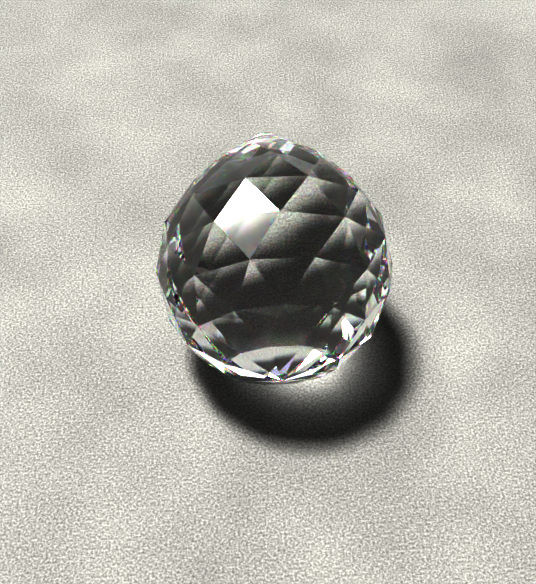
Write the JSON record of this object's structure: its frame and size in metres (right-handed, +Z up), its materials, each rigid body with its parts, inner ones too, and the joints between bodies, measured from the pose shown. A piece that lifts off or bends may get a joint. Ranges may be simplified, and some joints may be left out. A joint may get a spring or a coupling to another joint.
{
  "type": "faceted crystal ball",
  "caption": "Solid clear cut-glass ball with triangular facets and a pierced peak for hanging, lying on one facet.",
  "frame": {"origin": "on the facet that the ball lies on, at the foot of the ball's centre", "axes": "+Z up, away from the resting facet; the ball's own axis lies in the YZ plane, with its pierced peak towards +Y and about 15 degrees up; +X along the hanging hole; symmetric about the YZ plane"},
  "size_m": [0.04, 0.0446, 0.0386],
  "materials": {
    "clear_crystal": "clear colourless cut crystal, every facet flat and brightly polished, the drilled hole ground matt"
  },
  "bodies": {
    "root": {"faceted_ball": "clear_crystal"}
  },
  "joints": []
}
